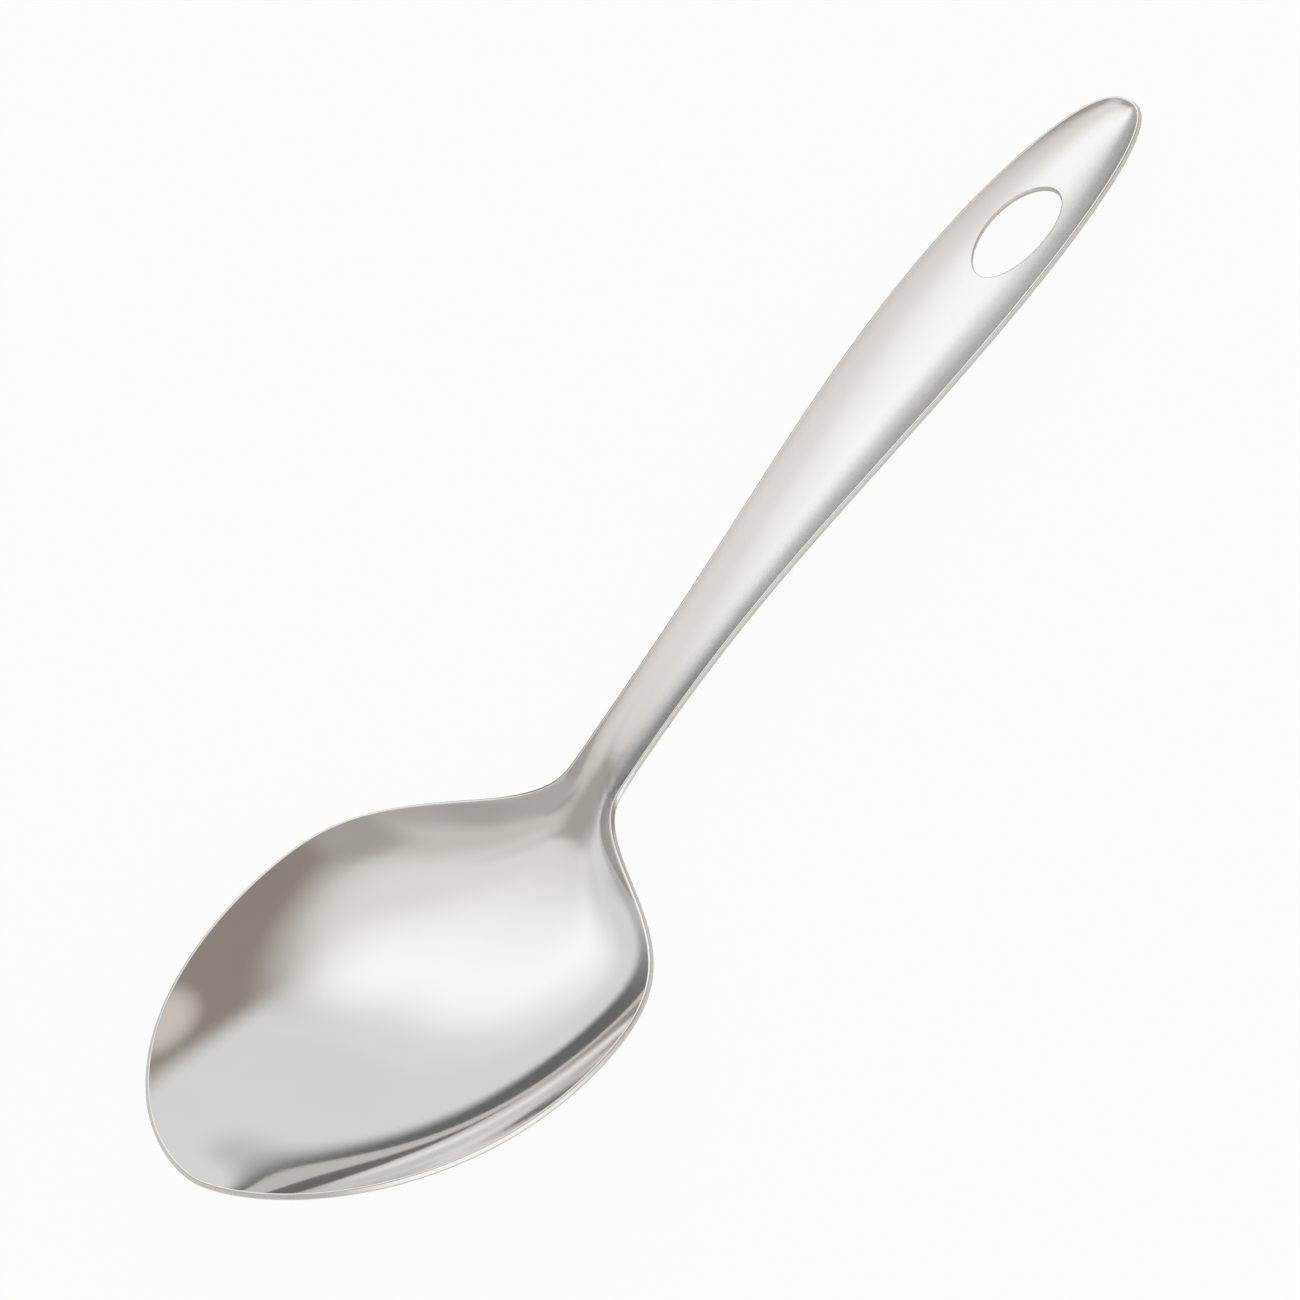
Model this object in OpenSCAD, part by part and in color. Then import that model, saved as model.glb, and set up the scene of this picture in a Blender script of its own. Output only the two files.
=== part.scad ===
// Serving spoon pressed from one stainless steel sheet: a broad pointed-oval bowl, a narrow neck that
// lifts the handle, and a shallow dished handle with an oval hanging hole.
// Lengths "along the spoon" follow the rim line from the front of the bowl to the tip of the handle.
// The spoon lies as it does on a table: on the bottom of its bowl and the tip of its handle.

/* [Sheet] */
// Thickness of the steel sheet
sheet_t = 1.2; // [0.8:0.1:2]

/* [Bowl] */
// Width inside the rim at the widest place
bowl_w = 77; // [60:1:95]
// Distance along the spoon from the front to the widest and deepest place
bowl_widest_at = 62; // [50:1:75]
// Depth of the bowl below its rim
bowl_depth = 9.5; // [6:0.5:20]

/* [Neck] */
// Distance along the spoon from the front to the narrowest place
neck_at = 115; // [100:1:130]
// Width of the sheet at the narrowest place
neck_w = 10.8; // [8:0.1:14]
// How far the bend that lifts the handle lies ahead of the narrowest place
bend_before_neck = 10; // [5:0.5:14]
// Length of that bend along the spoon
bend_l = 10; // [6:0.5:16]
// How far past the narrowest place the rear wall of the bowl runs out
heel_past_neck = 3; // [1:0.5:8]
// Depth over which the rear wall rounds into the handle
heel_blend = 1.2; // [0.6:0.1:2.5]

/* [Handle] */
// Length of the whole spoon along its rim line
spoon_l = 282; // [250:1:330]
// Width of the handle at its widest place
grip_w = 21.9; // [16:0.1:28]
// Length of the rounded end, from the widest place to the tip
grip_end_l = 51; // [45:1:70]
// Depth of the dished handle below its edges at the widest place
handle_depth = 1.9; // [0.6:0.1:3]

/* [Side view] */
// Angle by which the bowl's rim sweeps up at either end, in degrees
rim_sweep = 7.5; // [2:0.1:12]
// Angle of the handle above the rim just past the bend, in degrees
handle_rise = 21.7; // [14:0.1:32]
// Angle of the handle above the rim at its tip, in degrees
tip_rise = 5.9; // [-4:0.1:12]

/* [Hanging hole] */
// Length of the oval hole along the handle
hole_l = 23.2; // [12:0.1:30]
// Width of the oval hole
hole_w = 11.1; // [6:0.1:13]
// Distance along the handle from the tip to the middle of the hole
hole_from_tip = 35; // [28:0.5:45]

/* [Curves] */
// Roundness of the bowl's front: a half is an ellipse, more is pointed
front_power = 0.61; // [0.45:0.01:0.8]
// How long the bowl stays wide before the shoulder
shoulder_power = 4.4; // [3:0.1:6]
// How gently the shoulder runs into the neck
shoulder_ease = 3.4; // [2:0.1:4]
// How gently the neck widens into the grip
grip_ease = 3.2; // [2:0.1:4]
// Roundness of the handle's end: a half is an ellipse, less is fuller
end_power = 0.4; // [0.3:0.01:0.6]
// How gently the floor climbs to the front: 1 is a plain curve, more runs out flatter
floor_power = 1.4; // [1:0.05:2]
// How flat the bowl's section is in its middle
bowl_section_power = 3; // [2:0.1:4]
// How flat the handle's section is in its middle
handle_section_power = 2.4; // [2:0.1:5]
// How close to the tip the handle's dish keeps its depth
dish_end_power = 8; // [4:1:12]

/* [Hidden] */

steel_colour = [0.80, 0.80, 0.79];

// Places along the spoon that follow from the sizes above
grip_at = spoon_l - grip_end_l;
hole_at = spoon_l - hole_from_tip;
bend_at = neck_at - bend_before_neck;
heel_at = neck_at + heel_past_neck;

// Fineness of the surface: steps along each piece, steps across, and points round the hole
bowl_steps = 48;
handle_steps = 58;
across_steps = 26;
hole_points = 64;
table_steps = 400;

// The sharp ends of the outline are blunted by this share of the sheet, so that no edge has zero length
blunt_share = 0.04;
blunt = sheet_t * blunt_share;

// Half of a step used to measure slopes, along the spoon and across its half width
slope_step = blunt / 2;
slope_across_share = 0.002;

// Most of the rear wall's climb that may be a plain curve: with more of it, the wall would overshoot the rim
steepest_share = 1.5;

// The hole's cutter runs this far past both faces of the sheet
overrun = 4 * sheet_t;

function clamp(t) = min(1, max(0, t));
function ease(t) = let (u = clamp(t)) u * u * (3 - 2 * u);

// Half the width of the sheet at a place along the spoon. Each pair of curves meets with one curvature.
rear_l = neck_at - bowl_widest_at;
shoulder_share = front_power * bowl_w / (bowl_w - neck_w) * pow(rear_l / bowl_widest_at, 2) / shoulder_ease;
function front_half(s) =
    let (t = clamp((bowl_widest_at - s) / bowl_widest_at))
    bowl_w / 2 * pow(1 - t * t, front_power);
function rear_half(s) =
    let (t = clamp((s - bowl_widest_at) / rear_l),
         left = 1 - shoulder_share * t * t - (1 - shoulder_share) * pow(t, shoulder_power))
    neck_w / 2 + (bowl_w - neck_w) / 2 * pow(max(0, left), shoulder_ease);
function grip_half(s) =
    let (t = clamp((s - neck_at) / (grip_at - neck_at)))
    neck_w / 2 + (grip_w - neck_w) / 2 * pow(1 - pow(1 - t, 2), grip_ease);
function end_half(s) =
    let (t = clamp((s - grip_at) / grip_end_l))
    grip_w / 2 * pow(1 - t * t, end_power);
function half_width(s) =
    s <= bowl_widest_at ? front_half(s) :
    s <= neck_at ? rear_half(s) :
    s <= grip_at ? grip_half(s) : end_half(s);

// Depth of the floor below the rim: the bowl, the handle's dish, and a rounded step between them.
floor_l = heel_at - bowl_widest_at;
floor_share = min(steepest_share, floor_power * pow(floor_l / bowl_widest_at, 2));
function bowl_floor(s) =
    s < bowl_widest_at ?
        bowl_depth * pow(1 - pow((bowl_widest_at - s) / bowl_widest_at, 2), floor_power) :
    let (t = (s - bowl_widest_at) / floor_l)
    bowl_depth * (1 - floor_share * t * t - (1 - floor_share) * pow(t, 3));
function handle_floor(s) =
    let (t = clamp((s - grip_at) / grip_end_l))
    handle_depth * grip_half(s) / (grip_w / 2) * sqrt(1 - pow(t, dish_end_power));
function floor_depth(s) =
    let (u = ease((s - bowl_widest_at) / floor_l),
         a = bowl_floor(s),
         b = u * handle_floor(s),
         e = u * heel_blend)
    s > grip_at ? handle_floor(s) : (a + b + sqrt((a - b) * (a - b) + e * e)) / 2;
function section_power(s) =
    bowl_section_power + (handle_section_power - bowl_section_power) * ease((s - bowl_widest_at) / rear_l);

// Angle of the rim line: a gentle sweep along the bowl, a bend, then a handle that arches over.
function rim_angle(s) =
    let (bowl_a = rim_sweep * (2 * s / bend_at - 1),
         handle_a = handle_rise + (tip_rise - handle_rise) * (s - bend_at) / (spoon_l - bend_at))
    bowl_a + (handle_a - bowl_a) * ease((s - bend_at) / bend_l + 1 / 2);

// The rim line itself, summed from its angle: distance along the spoon against x and against z
table_step = spoon_l / table_steps;
function step_angle(i) = rim_angle((i + 1 / 2) * table_step);
rim_x = [for (i = 0, x = 0; i <= table_steps; x = x + table_step * cos(step_angle(i)), i = i + 1)
    [i * table_step, x]];
rim_z = [for (i = 0, z = 0; i <= table_steps; z = z + table_step * sin(step_angle(i)), i = i + 1)
    [i * table_step, z]];

// A point of the upper face: s along the spoon, v from -1 to 1 across it
function upper(s, v) =
    let (a = rim_angle(s), drop = floor_depth(s) * (1 - pow(abs(v), section_power(s))))
    [lookup(s, rim_x) + drop * sin(a), v * half_width(s), lookup(s, rim_z) - drop * cos(a)];
function face_normal(s, v) =
    let (s0 = max(blunt - slope_step, s - slope_step),
         s1 = min(spoon_l - blunt + slope_step, s + slope_step),
         along = upper(s1, v) - upper(s0, v),
         crosswise = upper(s, v + slope_across_share) - upper(s, v - slope_across_share),
         n = cross(along, crosswise))
    n / norm(n);
function lower(s, v) = upper(s, v) - sheet_t * face_normal(s, v);

// The rest position: the tilt of the line that touches both the bowl and the handle from below
keel = [for (i = [1 : table_steps - 1]) lower(i * table_step, 0)];
keel_split = floor(table_steps * neck_at / spoon_l);
bowl_keel = [for (i = [0 : keel_split]) keel[i]];
handle_keel = [for (i = [keel_split + 1 : len(keel) - 1]) keel[i]];
function slope_angle(p, q) = atan2(q[2] - p[2], q[0] - p[0]);
tilt = min([for (q = handle_keel) max([for (p = bowl_keel) slope_angle(p, q)])]);

// Rings of points along each piece, close together where the outline turns
function across(j) = sin(180 * j / across_steps - 90);
bowl_places = [for (i = [0 : bowl_steps])
    blunt + (neck_at - blunt) * (1 - cos(90 * i / bowl_steps))];
handle_places = [for (i = [0 : handle_steps])
    neck_at + (spoon_l - blunt - neck_at) * sin(90 * i / handle_steps)];
function ring(s) = concat(
    [for (j = [0 : across_steps]) upper(s, across(j))],
    [for (j = [across_steps : -1 : 0]) lower(s, across(j))]);
bowl_rings = [for (s = bowl_places) ring(s)];
handle_rings = [for (s = handle_places) ring(s)];

// The frame: x runs to the tip, z is up, and the origin is under the middle of the spoon
function tilted(p) = [p[0] * cos(tilt) + p[2] * sin(tilt), p[1], p[2] * cos(tilt) - p[0] * sin(tilt)];
every_point = [for (r = concat(bowl_rings, handle_rings)) for (p = r) tilted(p)];
every_x = [for (p = every_point) p[0]];
middle_x = (min(every_x) + max(every_x)) / 2;
bottom_z = min([for (p = every_point) p[2]]);
function placed(p) = tilted(p) - [middle_x, 0, bottom_z];

// A closed strip of sheet through a row of rings
module sheet(rings) {
    n = len(rings[0]);
    last = len(rings) - 1;
    points = [for (r = rings) for (p = r) placed(p)];
    sides = [for (i = [0 : last - 1]) for (j = [0 : n - 1])
        let (a = i * n + j, b = i * n + (j + 1) % n, c = a + n, d = b + n)
        each [[a, b, d], [a, d, c]]];
    caps = [for (j = [0 : n / 2 - 2])
        let (a = j, b = j + 1, c = n - 1 - j, d = n - 2 - j, e = last * n)
        each [[a, c, d], [a, d, b], [e + a, e + b, e + d], [e + a, e + d, e + c]]];
    polyhedron(points = points, faces = concat(sides, caps), convexity = 6);
}

module bowl() {
    color(steel_colour) sheet(bowl_rings);
}

// The oval hole is punched square to the handle
module hole_cutter() {
    translate(placed(upper(hole_at, 0)))
        rotate([0, tilt - rim_angle(hole_at), 0])
            linear_extrude(height = 2 * overrun, center = true)
                polygon([for (i = [0 : hole_points - 1])
                    let (a = 360 * i / hole_points) [hole_l / 2 * cos(a), hole_w / 2 * sin(a)]]);
}

module handle() {
    color(steel_colour) difference() {
        sheet(handle_rings);
        hole_cutter();
    }
}

bowl();
handle();
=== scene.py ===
# %% [markdown]
# A serving spoon in polished stainless steel, made in Blender around its CAD frame.
# The real spoon is one blank, cut from flat sheet and pressed between two dies. So the whole object is
# one thin skin of even thickness, and the work here is to give that skin a true shape, a soft cut edge
# and a finish that mirrors a studio the way polished steel does.

import bmesh
import bpy
import numpy as np
from mathutils import Matrix, Vector


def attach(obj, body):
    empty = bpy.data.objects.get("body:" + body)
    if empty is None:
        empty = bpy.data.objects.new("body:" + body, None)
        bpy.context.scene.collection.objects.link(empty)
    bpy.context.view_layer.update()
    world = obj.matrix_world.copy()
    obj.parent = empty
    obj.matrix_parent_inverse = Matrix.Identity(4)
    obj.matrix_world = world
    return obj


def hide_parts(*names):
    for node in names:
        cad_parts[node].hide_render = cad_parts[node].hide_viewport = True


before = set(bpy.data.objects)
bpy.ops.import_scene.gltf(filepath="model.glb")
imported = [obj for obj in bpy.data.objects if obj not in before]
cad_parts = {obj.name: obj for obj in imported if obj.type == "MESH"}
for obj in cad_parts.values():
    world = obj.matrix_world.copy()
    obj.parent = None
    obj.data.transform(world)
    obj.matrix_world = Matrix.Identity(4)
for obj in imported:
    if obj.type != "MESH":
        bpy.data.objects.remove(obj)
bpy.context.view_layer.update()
print("frame nodes:", sorted(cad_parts))

# %% [markdown]
# The sizes of the spoon, in millimetres, are those of its CAD model. Distances "along the spoon" follow
# the rim line, from the front of the bowl to the tip of the handle.

# %% Sizes in millimetres
MM = 0.001

SHEET_T = 1.2
BOWL_W, BOWL_WIDEST_AT, BOWL_DEPTH = 77.0, 62.0, 9.5
NECK_AT, NECK_W = 115.0, 10.8
BEND_BEFORE_NECK, BEND_L = 10.0, 10.0
HEEL_PAST_NECK, HEEL_BLEND = 3.0, 1.2
SPOON_L, GRIP_W, GRIP_END_L = 282.0, 21.9, 51.0
HANDLE_DEPTH = 1.9
HOLE_L, HOLE_W, HOLE_FROM_TIP = 23.2, 11.1, 35.0

# Places that follow from these
BEND_AT = NECK_AT - BEND_BEFORE_NECK
HEEL_AT = NECK_AT + HEEL_PAST_NECK
GRIP_AT = SPOON_L - GRIP_END_L
HOLE_AT = SPOON_L - HOLE_FROM_TIP

# Angles of the rim line, in degrees
RIM_SWEEP, HANDLE_RISE, TIP_RISE = 7.5, 21.7, 5.9

# Powers and eases that give each curve its character
FRONT_POWER, SHOULDER_POWER, SHOULDER_EASE = 0.61, 4.4, 3.4
GRIP_EASE, END_POWER = 3.2, 0.40
BOWL_SECTION_POWER, HANDLE_SECTION_POWER, DISH_END_POWER = 3.0, 2.4, 8.0
FRONT_FLOOR_POWER, STEEPEST_SHARE = 1.4, 1.5

print("bend, heel, grip and hole in mm:", BEND_AT, HEEL_AT, GRIP_AT, HOLE_AT)

# %% [markdown]
# The outline of the blank is four curves, end to end. Each is a power of a simple parabola, so a single
# number makes it rounder or more pointed. A mesh outline could be drawn by hand instead, but a formula
# stays smooth however finely it is sampled, and a mirror finish shows every kink.

# %% Outline of the blank
def ease(t):
    """Smooth step from 0 to 1: three t squared minus two t cubed."""
    t = np.clip(t, 0.0, 1.0)
    return t * t * (3.0 - 2.0 * t)


def grip_half(s):
    """Half the width of the handle as it swells from the neck to the grip: a power of a parabola."""
    t = np.clip((s - NECK_AT) / (GRIP_AT - NECK_AT), 0.0, 1.0)
    return NECK_W / 2 + (GRIP_W - NECK_W) / 2 * (1 - (1 - t) ** 2) ** GRIP_EASE


def half_width(s):
    """Half the width of the blank at distance s along it: front, shoulder, grip and rounded end.

    Front and end are powers of one minus a square. The shoulder mixes that square with a higher power,
    in the share that gives front and shoulder one curvature where they meet.
    """
    s = np.asarray(s, float)
    ahead = np.clip((BOWL_WIDEST_AT - s) / BOWL_WIDEST_AT, 0.0, 1.0)
    front = BOWL_W / 2 * (1 - ahead**2) ** FRONT_POWER

    rear_l = NECK_AT - BOWL_WIDEST_AT
    share = FRONT_POWER * BOWL_W / (BOWL_W - NECK_W) * (rear_l / BOWL_WIDEST_AT) ** 2 / SHOULDER_EASE
    behind = np.clip((s - BOWL_WIDEST_AT) / rear_l, 0.0, 1.0)
    left = np.maximum(0.0, 1 - share * behind**2 - (1 - share) * behind**SHOULDER_POWER)
    shoulder = NECK_W / 2 + (BOWL_W - NECK_W) / 2 * left**SHOULDER_EASE

    past_grip = np.clip((s - GRIP_AT) / GRIP_END_L, 0.0, 1.0)
    end = GRIP_W / 2 * (1 - past_grip**2) ** END_POWER
    places = [s <= BOWL_WIDEST_AT, s <= NECK_AT, s <= GRIP_AT]
    return np.select(places, [front, shoulder, grip_half(s)], end)


print("bowl, neck, grip and hole place, widths in mm:",
      np.round(2 * half_width([BOWL_WIDEST_AT, NECK_AT, GRIP_AT, HOLE_AT]), 1))

# %% [markdown]
# The dies press that blank into a dish. Across the spoon, every section is a power curve: flat in the
# middle and steep by the rim. Along it, the depth falls to the bottom of the bowl, climbs the rear wall
# and runs out at the heel into the handle's shallow dish, which stiffens it.

# %% Pressed surface
RIM_STEPS = 4000
LEAST_HALF_W = 1e-9
SLOPE_STEP, SLOPE_SHARE = 0.02, 0.01


def floor_depth(s):
    """Depth of the middle line below the rim: the bowl, the handle's dish, and a rounded step between.

    The rounded step is half of the sum of both depths and of a root: their squared difference plus the
    square of the blend.
    """
    floor_l = HEEL_AT - BOWL_WIDEST_AT
    share = min(STEEPEST_SHARE, FRONT_FLOOR_POWER * (floor_l / BOWL_WIDEST_AT) ** 2)
    ahead = (BOWL_WIDEST_AT - s) / BOWL_WIDEST_AT
    front = np.maximum(0.0, 1 - ahead**2) ** FRONT_FLOOR_POWER
    behind = np.maximum(0.0, (s - BOWL_WIDEST_AT) / floor_l)
    rear = 1 - share * behind**2 - (1 - share) * behind**3
    bowl = BOWL_DEPTH * np.where(s < BOWL_WIDEST_AT, front, rear)

    past_grip = np.clip((s - GRIP_AT) / GRIP_END_L, 0.0, 1.0)
    handle = HANDLE_DEPTH * grip_half(s) / (GRIP_W / 2) * np.sqrt(1 - past_grip**DISH_END_POWER)
    u = ease((s - BOWL_WIDEST_AT) / floor_l)
    joined = (bowl + u * handle + np.sqrt((bowl - u * handle) ** 2 + (u * HEEL_BLEND) ** 2)) / 2
    return np.where(s > GRIP_AT, handle, joined)


def section_power(s):
    """Power of the section's curve: a flatter middle in the bowl, a rounder one in the handle."""
    u = ease((s - BOWL_WIDEST_AT) / (NECK_AT - BOWL_WIDEST_AT))
    return BOWL_SECTION_POWER + (HANDLE_SECTION_POWER - BOWL_SECTION_POWER) * u


def rim_angle(s):
    """Angle of the rim line in radians: a sweep along the bowl, a bend, and a handle that arches over."""
    bowl = RIM_SWEEP * (2 * s / BEND_AT - 1)
    handle = HANDLE_RISE + (TIP_RISE - HANDLE_RISE) * (s - BEND_AT) / (SPOON_L - BEND_AT)
    return np.radians(bowl + (handle - bowl) * ease((s - BEND_AT) / BEND_L + 0.5))


# The rim line itself is the running sum of short steps at that angle
RIM_S = np.linspace(0.0, SPOON_L, RIM_STEPS + 1)
RIM_STEP = RIM_S[1] - RIM_S[0]
RIM_MID = RIM_S[:-1] + RIM_STEP / 2
RIM_X = np.concatenate([[0.0], np.cumsum(RIM_STEP * np.cos(rim_angle(RIM_MID)))])
RIM_Z = np.concatenate([[0.0], np.cumsum(RIM_STEP * np.sin(rim_angle(RIM_MID)))])


def upper(s, y):
    """Point of the upper face: the rim line, plus y across, minus the section's drop square to the rim."""
    angle = rim_angle(s)
    v = np.abs(y) / np.maximum(half_width(s), LEAST_HALF_W)
    drop = floor_depth(s) * (1 - np.minimum(v, 1.0) ** section_power(s))
    x = np.interp(s, RIM_S, RIM_X) + drop * np.sin(angle)
    z = np.interp(s, RIM_S, RIM_Z) - drop * np.cos(angle)
    return np.stack([x, y, z], axis=-1)


def face_normal(s, y):
    """Unit normal of the upper face: the cross product of its slopes along and across the spoon."""
    s0 = np.maximum(s - SLOPE_STEP, 0.0)
    s1 = np.minimum(s + SLOPE_STEP, SPOON_L)
    dy = np.minimum(SLOPE_STEP, half_width(s) * SLOPE_SHARE)
    along = upper(s1, y) - upper(s0, y)
    across = upper(s, y + dy) - upper(s, y - dy)
    normal = np.cross(along, across)
    return normal / np.linalg.norm(normal, axis=-1, keepdims=True)


print("rim line, height of front, neck and tip in mm:",
      np.round(np.interp([0.0, NECK_AT, SPOON_L], RIM_S, RIM_Z), 1))

# %% [markdown]
# A cut edge is never sharp: tumbling and polishing round it over. The face therefore stops a little
# short of the outline, and a narrow rounded strip carries it over the edge to the underside. Rows of the
# face sit close together at both ends and at the ends of the hole, where the outline turns fastest.

# %% Rows and columns of the face
EDGE_R = 0.28
ROWS_BOWL, ROWS_STEM, ROWS_HOLE, ROWS_END = 150, 90, 60, 50
COLUMNS, EDGE_STEPS = 44, 5
OUTLINE_STEP, OUTLINE_STEPS = 0.001, 20000
QUARTER = np.pi / 2


def inset_outline(s):
    """The outline moved inwards by the edge radius, square to itself: new s and new half width."""
    s0 = np.maximum(s - OUTLINE_STEP, 0.0)
    s1 = np.minimum(s + OUTLINE_STEP, SPOON_L)
    slope = (half_width(s1) - half_width(s0)) / (s1 - s0)
    norm = np.sqrt(1 + slope**2)
    return s + EDGE_R * slope / norm, np.maximum(half_width(s) - EDGE_R / norm, 0.0)


def shares(steps):
    """Even shares from 0 to 1."""
    return np.linspace(0.0, 1.0, steps + 1)


fine = SPOON_L * (1 - np.cos(np.linspace(0.0, np.pi, OUTLINE_STEPS + 1))) / 2
fine_in = inset_outline(fine)[0]
front_in, tip_in = fine_in[0], fine_in[-1]
hole_a, hole_b = HOLE_L / 2 + EDGE_R, HOLE_W / 2 + EDGE_R
hole_0, hole_1 = HOLE_AT - hole_a, HOLE_AT + hole_a

rows = np.concatenate([
    front_in + (NECK_AT - front_in) * (1 - np.cos(QUARTER * shares(ROWS_BOWL)))[:-1],
    NECK_AT + (hole_0 - NECK_AT) * np.sin(QUARTER * shares(ROWS_STEM))[:-1],
    HOLE_AT - hole_a * np.cos(np.pi * shares(ROWS_HOLE))[:-1],
    hole_1 + (tip_in - hole_1) * np.sin(QUARTER * shares(ROWS_END)),
])
rim_s = np.interp(rows, fine_in, fine)
rim_s[0], rim_s[-1] = 0.0, SPOON_L
face_y = inset_outline(rim_s)[1]
face_y[0] = face_y[-1] = 0.0
hole_cos = np.clip((rows - HOLE_AT) / hole_a, -1.0, 1.0)
hole_sin = np.sqrt(1 - hole_cos**2)
print("rows:", len(rows), "columns:", COLUMNS + 1)

# %% [markdown]
# One half of the sheet is a grid of rows and columns, from the middle line (or the edge of the hole) to
# the rim. The other half is its mirror image, so the two meet exactly and merge into one closed skin.

# %% Half of the sheet as arrays
ROW_TOLERANCE = 1e-6


def edge_strip(top, normal, out):
    """Points over a rounded edge: a quarter ellipse off the face, the flat cut, and the same below."""
    phi = np.linspace(0.0, QUARTER, EDGE_STEPS + 1)
    reach = np.concatenate([np.sin(phi), np.sin(phi)[::-1]])
    dip = EDGE_R * (1 - np.cos(phi))
    depth = np.concatenate([dip, SHEET_T - dip[::-1]])
    return top[:, None] + out[:, None] * reach[:, None] - normal[:, None] * depth[:, None]


def square_to(out, normal):
    """The part of a direction that lies in the face's own plane: less its share along the normal."""
    return out - (out * normal).sum(-1, keepdims=True) * normal


def half_sheet():
    """Grids of points for y above 0: upper face, underside, rim strip and hole strip, in millimetres."""
    across = np.sin(QUARTER * shares(COLUMNS))
    inner_y = hole_b * hole_sin
    y = inner_y[:, None] + (face_y - inner_y)[:, None] * across
    s = np.broadcast_to(rows[:, None], y.shape)
    top = upper(s, y)
    normal = face_normal(s, y)
    under = top - SHEET_T * normal

    rim = upper(rim_s, half_width(rim_s))
    outwards = square_to(rim - top[:, -1], normal[:, -1])
    rim_strip = edge_strip(top[:, -1], normal[:, -1], outwards)

    inside = np.flatnonzero(np.abs(rows - HOLE_AT) <= hole_a + ROW_TOLERANCE)
    edge = upper(HOLE_AT + HOLE_L / 2 * hole_cos[inside], HOLE_W / 2 * hole_sin[inside])
    inwards = square_to(edge - top[inside, 0], normal[inside, 0])
    hole_strip = edge_strip(top[inside, 0], normal[inside, 0], inwards)
    return top, under, rim_strip, hole_strip


top, under, rim_strip, hole_strip = half_sheet()
print("sheet thickness in mm:", np.round(np.linalg.norm(top - under, axis=-1).mean(), 3))

# %% [markdown]
# On a table the spoon rocks until the bottom of its bowl and the underside of its tip both touch. That
# tilt is found by halving an interval, and the frame's origin is then under the middle of the spoon.

# %% Rest position
STEEPEST_TILT, HALVINGS = np.pi / 3, 50

keel = under[:, 0]
keel_bowl = keel[rows < NECK_AT]
keel_handle = keel[rows >= NECK_AT]


def lowest(points, tilt):
    """Lowest height of some points once the spoon is tipped by an angle."""
    return (points[:, 2] * np.cos(tilt) - points[:, 0] * np.sin(tilt)).min()


low, high = -STEEPEST_TILT, STEEPEST_TILT
for _ in range(HALVINGS):
    tilt = (low + high) / 2
    if lowest(keel_handle, tilt) > lowest(keel_bowl, tilt):
        low = tilt
    else:
        high = tilt

TIP = np.array([[np.cos(tilt), 0, np.sin(tilt)], [0, 1, 0], [-np.sin(tilt), 0, np.cos(tilt)]])
tipped = np.concatenate([g.reshape(-1, 3) @ TIP.T for g in (top, under, rim_strip, hole_strip)])
ORIGIN = np.array([(tipped[:, 0].min() + tipped[:, 0].max()) / 2, 0.0, tipped[:, 2].min()])


def placed(points):
    """Points in the frame, in metres: tipped, then moved to the frame's origin."""
    return (points @ TIP.T - ORIGIN) * MM


print("tilt in degrees:", round(float(np.degrees(tilt)), 3))

# %% [markdown]
# The grids become one mesh. Quads are index arithmetic on a whole grid, the mirror half has its quads
# turned round so that all faces point outwards, and merging doubles closes the seams.

# %% Mesh of the spoon
STEEL_FACE, CUT_EDGE = 0, 1
MERGE_MM = 0.0005


def grid_quads(shape, start):
    """Index quads of a grid whose points start at a given index."""
    rows_n, columns_n = shape
    i = np.arange(rows_n * columns_n).reshape(rows_n, columns_n) + start
    return np.stack([i[:-1, :-1], i[1:, :-1], i[1:, 1:], i[:-1, 1:]], axis=-1).reshape(-1, 4)


def spoon_mesh():
    """Points, quads and finishes of one skin: the four grids and their mirror images."""
    grids = [
        (top, False, STEEL_FACE),
        (under, True, STEEL_FACE),
        (rim_strip, False, CUT_EDGE),
        (hole_strip, True, CUT_EDGE),
    ]
    points, quads, finish = [], [], []
    start = 0
    for side in (1.0, -1.0):
        for grid, turned, slot in grids:
            q = grid_quads(grid.shape[:2], start)
            if turned != (side < 0):
                q = q[:, ::-1]
            points.append(grid.reshape(-1, 3) * [1.0, side, 1.0])
            quads.append(q)
            finish.append(np.full(len(q), slot))
            start += grid.shape[0] * grid.shape[1]
    return placed(np.concatenate(points)), np.concatenate(quads), np.concatenate(finish)


points, quads, finish = spoon_mesh()
mesh = bpy.data.meshes.new("spoon_pressing")
mesh.from_pydata(points.tolist(), [], quads.tolist())
mesh.polygons.foreach_set("material_index", finish.astype(np.int32))
mesh.polygons.foreach_set("use_smooth", np.ones(len(quads), bool))
spoon = bpy.data.objects.new("spoon_pressing", mesh)
bpy.context.collection.objects.link(spoon)

bm = bmesh.new()
bm.from_mesh(mesh)
bmesh.ops.remove_doubles(bm, verts=bm.verts, dist=MERGE_MM * MM)
bmesh.ops.dissolve_degenerate(bm, edges=bm.edges, dist=MERGE_MM * MM)
open_edges = sum(1 for e in bm.edges if not e.is_manifold)
volume = bm.calc_volume(signed=True)
bm.to_mesh(mesh)
bm.free()
print("faces:", len(mesh.polygons), "open edges:", open_edges, "volume in mm3:", round(volume / MM**3, 1))

# %% [markdown]
# A finish in Blender is a small graph of nodes. Colours are written as sRGB hex values, as a colour picker
# shows them, and turned into the linear light that the renderer works in. One function adds a node, so
# each graph below reads from the top down.

# %% Helpers for materials
def linear(hex_colour):
    """sRGB hex text to linear red, green, blue and alpha, by the standard's power curve and its toe."""
    c = np.array([int(hex_colour[i:i + 2], 16) for i in (1, 3, 5)]) / 255
    c = np.where(c <= 0.04045, c / 12.92, ((c + 0.055) / 1.055) ** 2.4)
    return (*c.tolist(), 1.0)


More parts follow.
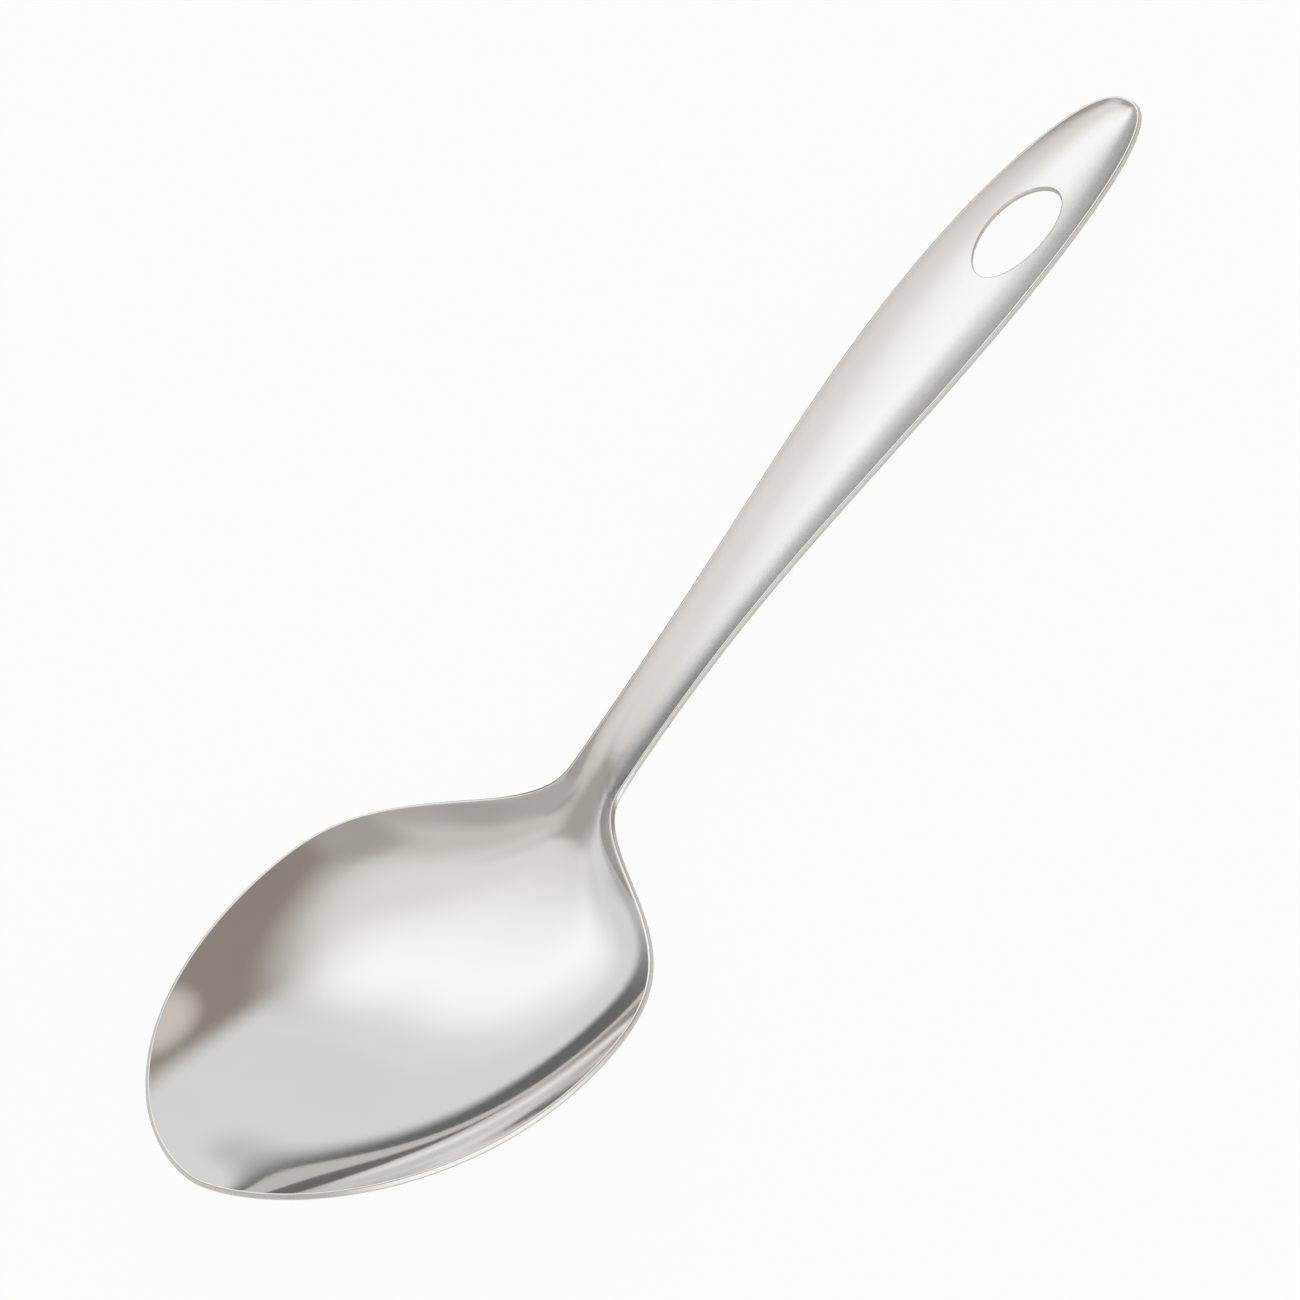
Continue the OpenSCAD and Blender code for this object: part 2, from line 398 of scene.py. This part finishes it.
def node(tree, kind, settings=None, inputs=None):
    """Adds one node, sets its properties, and gives each named input a value or a link."""
    made = tree.nodes.new(kind)
    for name, value in (settings or {}).items():
        setattr(made, name, value)
    for name, value in (inputs or {}).items():
        socket = made.inputs[name]
        if isinstance(value, bpy.types.NodeSocket):
            tree.links.new(value, socket)
        else:
            socket.default_value = value
    return made


def new_material(name):
    """An empty node material, and its node tree."""
    made = bpy.data.materials.new(name)
    made.use_nodes = True
    made.node_tree.nodes.clear()
    return made, made.node_tree


print("middle grey in linear light:", round(linear("#808080")[0], 3))

# %% [markdown]
# Stainless steel for cutlery is polished on soft wheels that run along the spoon. The eye gets a mirror
# that is slightly blurred, streaks that follow the length, and a pressing that is a little wavy. Steel
# reflects a touch less blue than red, so its colour is a very pale warm grey. The streaks vary the
# roughness alone, because on a mirror a change of colour would look like dirt.

# %% Polished stainless steel
# Real polishing lines are about a tenth as wide, too fine to show, so they are drawn coarser
STREAK_MM, STREAK_L_MM = 0.5, 30.0
WAVE_MM, WAVE_HEIGHT_MM = 16.0, 0.012
NOISE_LOW, NOISE_HIGH = 0.3, 0.7
STEEL_SMOOTHEST, STEEL_ROUGHEST = 0.05, 0.08
STEEL_DARK, STEEL_PALE = "#E3E2E0", "#E8E7E6"

steel, tree = new_material("stainless_polished")
place = node(tree, "ShaderNodeTexCoord").outputs["Object"]
stretched = node(tree, "ShaderNodeMapping", inputs={
    "Vector": place,
    "Scale": (1 / (STREAK_L_MM * MM), 1 / (STREAK_MM * MM), 1 / (STREAK_MM * MM)),
}).outputs["Vector"]
streaks = node(tree, "ShaderNodeTexNoise", inputs={
    "Vector": stretched, "Scale": 1.0, "Detail": 2.0}).outputs["Fac"]
waves = node(tree, "ShaderNodeTexNoise", inputs={
    "Vector": place, "Scale": 1 / (WAVE_MM * MM), "Detail": 1.0}).outputs["Fac"]
roughness = node(tree, "ShaderNodeMapRange", inputs={
    "Value": streaks, "From Min": NOISE_LOW, "From Max": NOISE_HIGH,
    "To Min": STEEL_SMOOTHEST, "To Max": STEEL_ROUGHEST}).outputs["Result"]
tone = node(tree, "ShaderNodeMix", {"data_type": "RGBA"}, {
    "Factor": waves, "A": linear(STEEL_DARK), "B": linear(STEEL_PALE)}).outputs["Result"]
relief = node(tree, "ShaderNodeBump", inputs={
    "Height": waves, "Distance": WAVE_HEIGHT_MM * MM, "Strength": 1.0}).outputs["Normal"]
shader = node(tree, "ShaderNodeBsdfPrincipled", inputs={
    "Base Color": tone, "Metallic": 1.0, "Roughness": roughness, "Normal": relief})
node(tree, "ShaderNodeOutputMaterial", inputs={"Surface": shader.outputs["BSDF"]})
print("material:", steel.name, "with", len(tree.nodes), "nodes")

# %% [markdown]
# The punch leaves the edge of the sheet torn and dull, and tumbling with abrasive stones evens it out. It
# never gets the polish of the faces, so it blurs what it mirrors into a soft pale line round the spoon.

# %% Cut edge of the sheet
# The real grain is under 0.1 mm, too fine to show, so it is drawn coarser
GRAIN_MM = 0.35
EDGE_SMOOTHEST, EDGE_ROUGHEST = 0.22, 0.28
EDGE_TONE = "#F0F0EE"

edge_steel, tree = new_material("stainless_cut_edge")
place = node(tree, "ShaderNodeTexCoord").outputs["Object"]
grain = node(tree, "ShaderNodeTexNoise", inputs={
    "Vector": place, "Scale": 1 / (GRAIN_MM * MM), "Detail": 2.0}).outputs["Fac"]
roughness = node(tree, "ShaderNodeMapRange", inputs={
    "Value": grain, "From Min": NOISE_LOW, "From Max": NOISE_HIGH,
    "To Min": EDGE_SMOOTHEST, "To Max": EDGE_ROUGHEST}).outputs["Result"]
shader = node(tree, "ShaderNodeBsdfPrincipled", inputs={
    "Base Color": linear(EDGE_TONE), "Metallic": 1.0, "Roughness": roughness})
node(tree, "ShaderNodeOutputMaterial", inputs={"Surface": shader.outputs["BSDF"]})

mesh.materials.append(steel)
mesh.materials.append(edge_steel)
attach(spoon, "root")
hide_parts("bowl", "handle")
print("finishes of the spoon:", [m.name for m in mesh.materials])

# %% [markdown]
# The floor is a plain sheet of white paper. For the rays that look straight at it, its material is mostly a
# white glow, so the background stays white without more light on the spoon. The rest is ordinary matt
# white, which keeps the spoon's soft shadow. Mirrors get less of the glow, so the steel shows the paper
# with its shading, as a pale grey.

# %% White floor
FLOOR_HALF_M = 10.0
PAPER_TONE = "#F4F4F2"
GLOW_SHARE, MIRRORED_GLOW_SHARE = 0.955, 0.15

floor_mesh = bpy.data.meshes.new("floor")
corners = FLOOR_HALF_M * np.array([[-1, -1, 0], [1, -1, 0], [1, 1, 0], [-1, 1, 0]], float)
floor_mesh.from_pydata(corners.tolist(), [], [(0, 1, 2, 3)])
floor = bpy.data.objects.new("floor", floor_mesh)
bpy.context.collection.objects.link(floor)

paper, tree = new_material("white_paper")
rays = node(tree, "ShaderNodeLightPath").outputs
looking = node(tree, "ShaderNodeMath", {"operation": "MAXIMUM"}, {
    0: rays["Is Camera Ray"], 1: rays["Is Transmission Ray"]}).outputs["Value"]
seen_glow = node(tree, "ShaderNodeMath", {"operation": "MULTIPLY"}, {
    0: looking, 1: GLOW_SHARE}).outputs["Value"]
mirrored_glow = node(tree, "ShaderNodeMath", {"operation": "MULTIPLY"}, {
    0: rays["Is Glossy Ray"], 1: MIRRORED_GLOW_SHARE}).outputs["Value"]
glowing = node(tree, "ShaderNodeMath", {"operation": "MAXIMUM"}, {
    0: seen_glow, 1: mirrored_glow}).outputs["Value"]
matt = node(tree, "ShaderNodeBsdfDiffuse", inputs={"Color": linear(PAPER_TONE)})
glow = node(tree, "ShaderNodeEmission", inputs={"Color": (1, 1, 1, 1), "Strength": 1.0})
mixed = node(tree, "ShaderNodeMixShader", inputs={
    "Fac": glowing, 1: matt.outputs["BSDF"], 2: glow.outputs["Emission"]})
node(tree, "ShaderNodeOutputMaterial", inputs={"Surface": mixed.outputs["Shader"]})
floor_mesh.materials.append(paper)
print("floor:", 2 * FLOOR_HALF_M, "m across")

# %% [markdown]
# Photographers of shiny things stand cards beside them to draw the edges of a reflection. Here they are
# painted
# reflection: the near side of the handle is darker than the sky behind it would make it, so a low strip of
# pale gauze stands behind the handle and paints shade into its reflection, dense at its foot and thin at its
# top.
# Towards the neck it is greyer, which paints that reflection darker, and it thins out at its end. A dark card
# lies on the table beyond the bowl and paints a thin dark stripe into the reflection in the near wall. Only
# mirrors see them: the camera, the shadows and the soft light on the floor pass them by.

# %% Gauze and card for the reflections
# The gauze, in millimetres: places along it, its heights there, its distance from the middle plane of the
# spoon, and the length of the end where it thins out
GAUZE_X, GAUZE_H = (-40.0, 75.0, 152.0), (39.0, 33.0, 17.0)
GAUZE_Y, GAUZE_END_L = 16.0, 18.0
GAUZE_STEPS = 36
# The share of its height that is dense, and the share of light that passes there
DENSE_SHARE, LEAST_THIN = 0.45, 0.14
GAUZE_GREY, GAUZE_PALE = "#ABACAF", "#E2E3E6"
GREY_UP_TO_X, PALE_FROM_X = 0.0, 30.0
# The card lies just above the table, so that the two don't share a plane
CARD_X, CARD_Y, CARD_Z = (-60.0, 90.0), (52.0, 150.0), 0.5
CARD_TONE = "#8E8E8E"


def only_mirrored(name, grid, material):
    """A sheet through a grid of points in millimetres that only mirrors see."""
    made = bpy.data.meshes.new(name)
    made.from_pydata((grid.reshape(-1, 3) * MM).tolist(), [], grid_quads(grid.shape[:2], 0).tolist())
    made.materials.append(material)
    sheet = bpy.data.objects.new(name, made)
    bpy.context.collection.objects.link(sheet)
    for kind in ("camera", "diffuse", "shadow", "transmission", "volume_scatter"):
        setattr(sheet, "visible_" + kind, False)
    return made


# Painted reflection: a grey sheet that only mirrors see, which paints shade on the near side of the handle
gauze, tree = new_material("painted_reflection_gauze")
thinning_read = node(tree, "ShaderNodeAttribute", {"attribute_name": "shade_thinning"}).outputs["Fac"]
thin = node(tree, "ShaderNodeMapRange", {"interpolation_type": "SMOOTHSTEP"}, {
    "Value": thinning_read, "From Min": DENSE_SHARE, "From Max": 1.0, "To Min": LEAST_THIN}).outputs["Result"]
place = node(tree, "ShaderNodeTexCoord").outputs["Object"]
place_x = node(tree, "ShaderNodeSeparateXYZ", inputs={"Vector": place}).outputs["X"]
# Painted reflection: the sheet is greyer towards the neck, so the handle's reflection is darker there
reflection_paleness = node(tree, "ShaderNodeMapRange", inputs={
    "Value": place_x, "From Min": GREY_UP_TO_X * MM, "From Max": PALE_FROM_X * MM}).outputs["Result"]
tone = node(tree, "ShaderNodeMix", {"data_type": "RGBA"}, {
    "Factor": reflection_paleness, "A": linear(GAUZE_GREY), "B": linear(GAUZE_PALE)}).outputs["Result"]
matt = node(tree, "ShaderNodeBsdfDiffuse", inputs={"Color": tone})
clear = node(tree, "ShaderNodeBsdfTransparent")
mixed = node(tree, "ShaderNodeMixShader", inputs={
    "Fac": thin, 1: matt.outputs["BSDF"], 2: clear.outputs["BSDF"]})
node(tree, "ShaderNodeOutputMaterial", inputs={"Surface": mixed.outputs["Shader"]})

gauze_x = np.linspace(GAUZE_X[0], GAUZE_X[-1], GAUZE_STEPS + 1)
gauze_y = np.full_like(gauze_x, GAUZE_Y)
foot = np.stack([gauze_x, gauze_y, np.zeros_like(gauze_x)], axis=-1)
head = np.stack([gauze_x, gauze_y, np.interp(gauze_x, GAUZE_X, GAUZE_H)], axis=-1)
gauze_mesh = only_mirrored("painted_reflection_scrim", np.stack([foot, head], axis=1), gauze)
# Painted reflection: the sheet's foot fades out towards its end by the neck, and its top is clear all along
foot_thinning = np.clip(1 - (gauze_x - GAUZE_X[0]) / GAUZE_END_L, 0.0, 1.0)
head_thinning = np.ones_like(gauze_x)
shade_thinning = gauze_mesh.attributes.new("shade_thinning", "FLOAT", "POINT")
shade_thinning.data.foreach_set("value", np.stack([foot_thinning, head_thinning], axis=1).ravel())

# Painted reflection: a dark sheet that only mirrors see, which paints a thin dark stripe into the bowl's near
# wall
painted_stripe_card, tree = new_material("painted_stripe_card")
matt = node(tree, "ShaderNodeBsdfDiffuse", inputs={"Color": linear(CARD_TONE)})
node(tree, "ShaderNodeOutputMaterial", inputs={"Surface": matt.outputs["BSDF"]})
card_grid = np.stack(np.meshgrid(CARD_X, CARD_Y, CARD_Z, indexing="ij"), axis=-1)[:, :, 0]
only_mirrored("painted_stripe_card", card_grid, painted_stripe_card)
print("seen by mirrors alone:", gauze_mesh.name, "and", painted_stripe_card.name)

# %% [markdown]
# Polished steel has no look of its own: it shows the room. It could be lit with lamps, but each would leave
# a hard spot on a mirror. So the room is drawn in the world's shader, as smooth patches of direction, because
# a mirror only asks where a ray goes. First come the shapes that such a patch can have.

# %% Shapes in the sky
world = bpy.data.worlds.new("studio")
bpy.context.scene.world = world
world.use_nodes = True
tree = world.node_tree
tree.nodes.clear()
direction = node(tree, "ShaderNodeTexCoord").outputs["Generated"]

# A panel fades out where a ray runs nearly along it: the cosines at which it is gone and whole
PANEL_GONE, PANEL_WHOLE = 0.05, 0.15


def pointing(azimuth, zenith):
    """Unit vector at an angle round from +X and an angle down from straight up, in degrees."""
    a, z = np.radians([azimuth, zenith])
    return np.array([np.sin(z) * np.cos(a), np.sin(z) * np.sin(a), np.cos(z)])


def toward(vector):
    """How far each direction of sky points along a vector: their dot product."""
    return node(tree, "ShaderNodeVectorMath", {"operation": "DOT_PRODUCT"}, {
        0: direction, 1: tuple(vector.tolist())}).outputs["Value"]


def fade(value, start, end):
    """Smooth step of a value: 0 at the start, 1 at the end."""
    return node(tree, "ShaderNodeMapRange", {"interpolation_type": "SMOOTHSTEP"}, {
        "Value": value, "From Min": float(start), "From Max": float(end)}).outputs["Result"]


def shared(first, *others):
    """The sky that several masks have in common: their product."""
    for other in others:
        first = node(tree, "ShaderNodeMath", {"operation": "MULTIPLY"}, {0: first, 1: other}).outputs["Value"]
    return first


def outside(mask):
    """The sky that a mask leaves out: one minus the mask."""
    return node(tree, "ShaderNodeMath", {"operation": "SUBTRACT"}, {0: 1.0, 1: mask}).outputs["Value"]


def patch(azimuth, zenith, inner, outer):
    """A soft round patch: 1 within an inner angle of a direction, falling to 0 at an outer angle."""
    return fade(toward(pointing(azimuth, zenith)), np.cos(np.radians(outer)), np.cos(np.radians(inner)))


def half_space(azimuth, zenith, soft):
    """The half of the sky on a direction's side of a plane, with an edge that is soft by an angle."""
    width = np.sin(np.radians(soft))
    return fade(toward(pointing(azimuth, zenith)), -width, width)


def below(elevation, soft):
    """The sky under an elevation, with a soft upper edge."""
    upper_end, lower_end = np.sin(np.radians([elevation + soft, elevation - soft]))
    return fade(toward(pointing(0, 0)), upper_end, lower_end)


def panel(azimuth, zenith, half_size, margin, roll):
    """A flat panel that faces the spoon, with soft margins, turned by a roll.

    A ray's place on it is its part along each side, divided by its part straight at the panel.
    """
    middle = pointing(azimuth, zenith)
    level = np.cross([0, 0, 1], middle)
    level = level / np.linalg.norm(level)
    upright = np.cross(middle, level)
    cosine, sine = np.cos(np.radians(roll)), np.sin(np.radians(roll))
    sides = (cosine * level + sine * upright, cosine * upright - sine * level)
    ahead = node(tree, "ShaderNodeMath", {"operation": "MAXIMUM"}, {
        0: toward(middle), 1: PANEL_GONE}).outputs["Value"]
    mask = fade(toward(middle), PANEL_GONE, PANEL_WHOLE)
    for side, half, soft in zip(sides, half_size, margin):
        reach = node(tree, "ShaderNodeMath", {"operation": "ABSOLUTE"}, {0: toward(side)}).outputs["Value"]
        slope = node(tree, "ShaderNodeMath", {"operation": "DIVIDE"}, {0: reach, 1: ahead}).outputs["Value"]
        mask = shared(mask, fade(slope, half + soft, half))
    return mask


print("straight up is", pointing(0, 0))

# %% [markdown]
# The room itself is dim and warm. Over the spoon hang a soft box and the glow that it throws on the
# ceiling. Beyond the spoon stand a pale wall and a side in shade, and below them runs the dark edge of the
# table, which draws the dark band in the bowl's near wall. A pale strip low on the near side lights the cut
# edges. The layers are laid over each other in turn, as a painter works from the back of a scene to the
# front.

# %% Studio world
RED_PER_BLUE = 0.8


def grey(level, warm=0.0):
    """A grey of a given radiance, with a share of its blue taken out and some red put in."""
    return (level * (1 + RED_PER_BLUE * warm), level, level * (1 - warm), 1.0)


far_side = half_space(azimuth=195, zenith=77, soft=4)
shade = shared(far_side, half_space(azimuth=125, zenith=90, soft=4), below(elevation=75, soft=12))
low_sky = below(elevation=34, soft=8)
wall = shared(low_sky, half_space(azimuth=95, zenith=90, soft=5), outside(far_side))
soft_box = panel(azimuth=52, zenith=47, half_size=(0.28, 0.01), margin=(0.54, 0.41), roll=-14)
table_edge = shared(
    half_space(azimuth=112, zenith=161.7, soft=3.5),
    below(elevation=11, soft=3),
    patch(azimuth=52, zenith=90, inner=12, outer=62))

layers = {
    "ceiling over the handle": (patch(azimuth=26, zenith=26, inner=2, outer=40), grey(0.88, 0.03)),
    "ceiling over the bowl": (patch(azimuth=190, zenith=21, inner=1, outer=37), grey(0.66, 0.05)),
    "wall behind the camera": (patch(azimuth=225, zenith=62, inner=22, outer=48), grey(0.48, 0.05)),
    "near ceiling": (patch(azimuth=-78, zenith=30, inner=4, outer=20), grey(0.42, 0.08)),
    "side in shade": (shade, grey(0.43, 0.06)),
    "foot of that side": (shared(shade, low_sky), grey(0.52, 0.04)),
    "pale wall": (wall, grey(0.82, 0.01)),
    "soft box": (soft_box, grey(1.18)),
    "edge of the table": (table_edge, grey(0.16)),
    "pale spot beyond the tip": (patch(azimuth=-9, zenith=78, inner=2, outer=11), grey(0.66, 0.08)),
    "pale strip on the near side": (patch(azimuth=-85, zenith=86, inner=18, outer=42), grey(1.1)),
}
sky = grey(0.29, 0.15)
for mask, colour in layers.values():
    sky = node(tree, "ShaderNodeMix", {"data_type": "RGBA"}, {
        "Factor": mask, "A": sky, "B": colour}).outputs["Result"]
background = node(tree, "ShaderNodeBackground", inputs={"Color": sky, "Strength": 1.0})
node(tree, "ShaderNodeOutputWorld", inputs={"Surface": background.outputs["Background"]})
print("layers of the room:", ", ".join(layers))

# %% [markdown]
# The camera stands where the photograph was taken from: well back, with a long lens, and turned a
# little about its own axis. Its place is worked out from a point on the spoon and four named values.

# %% Camera
AIM = Vector((-5.15, 2.84, 13.75)) * MM
AZIMUTH, ELEVATION, ROLL = -36.47, 54.78, -21.60
DISTANCE_MM, SENSOR_MM, LENS_MM = 2067.4, 36.0, 324.0

azimuth, elevation, roll = np.radians([AZIMUTH, ELEVATION, ROLL])
back = Vector((
    np.sin(azimuth) * np.cos(elevation), -np.cos(azimuth) * np.cos(elevation), np.sin(elevation)))
level_right = Vector((0, 0, 1)).cross(back).normalized()
level_up = back.cross(level_right)
right = level_right * np.cos(roll) + level_up * np.sin(roll)
up = back.cross(right)
camera_data = bpy.data.cameras.new("camera")
camera_data.lens = LENS_MM
camera_data.sensor_width = SENSOR_MM
camera_data.sensor_fit = "HORIZONTAL"
camera = bpy.data.objects.new("camera", camera_data)
bpy.context.collection.objects.link(camera)
turned = Matrix((right, up, back)).transposed().to_4x4()
camera.matrix_world = Matrix.Translation(AIM + back * DISTANCE_MM * MM) @ turned
bpy.context.scene.camera = camera
bpy.context.scene.view_settings.view_transform = "Standard"
print("camera at, in m:", np.round(camera.matrix_world.translation, 3))

# %% [markdown]
# The CAD model sets the size. Last, the scene is brought up to date.

# %% Scene brought up to date
bpy.context.view_layer.update()
